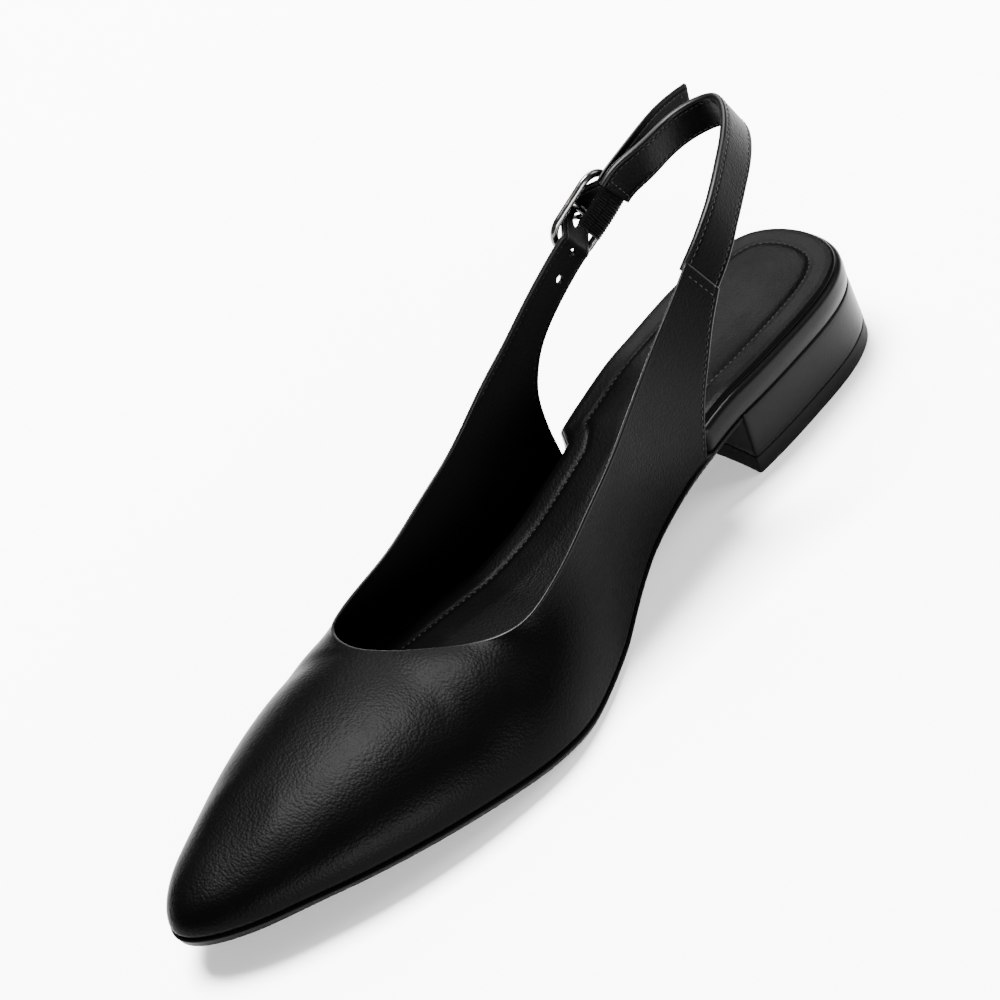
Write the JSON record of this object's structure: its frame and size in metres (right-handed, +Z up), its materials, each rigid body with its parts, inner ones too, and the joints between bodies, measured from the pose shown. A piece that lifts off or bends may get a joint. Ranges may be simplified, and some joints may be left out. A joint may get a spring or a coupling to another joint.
{
  "type": "sling back flat",
  "caption": "Womens pointed sling back flat, right shoe, in black leather, with a low block heel, a deep throat and a buckled sling strap on the outer side.",
  "frame": {"origin": "on the floor under the middle of the heel's top piece, 32 mm in front of the back of the seat", "axes": "+X from the heel to the toe, +Y to the inner side of the foot, +Z up from the floor"},
  "size_m": [0.2627, 0.0783, 0.0841],
  "materials": {
    "leather": "satin",
    "sock_leather": "satin",
    "sole_rubber": "matte",
    "elastic": "matte",
    "plated_metal": "polished"
  },
  "bodies": {
    "root": {"outsole": "sole_rubber", "heel_block": "leather", "top_piece": "sole_rubber", "insole_board": "leather", "insole_sock": "sock_leather", "upper": "leather", "elastic": "elastic", "sling_strap": "leather", "buckle_frame": "plated_metal", "buckle_prong": "plated_metal"}
  },
  "joints": []
}
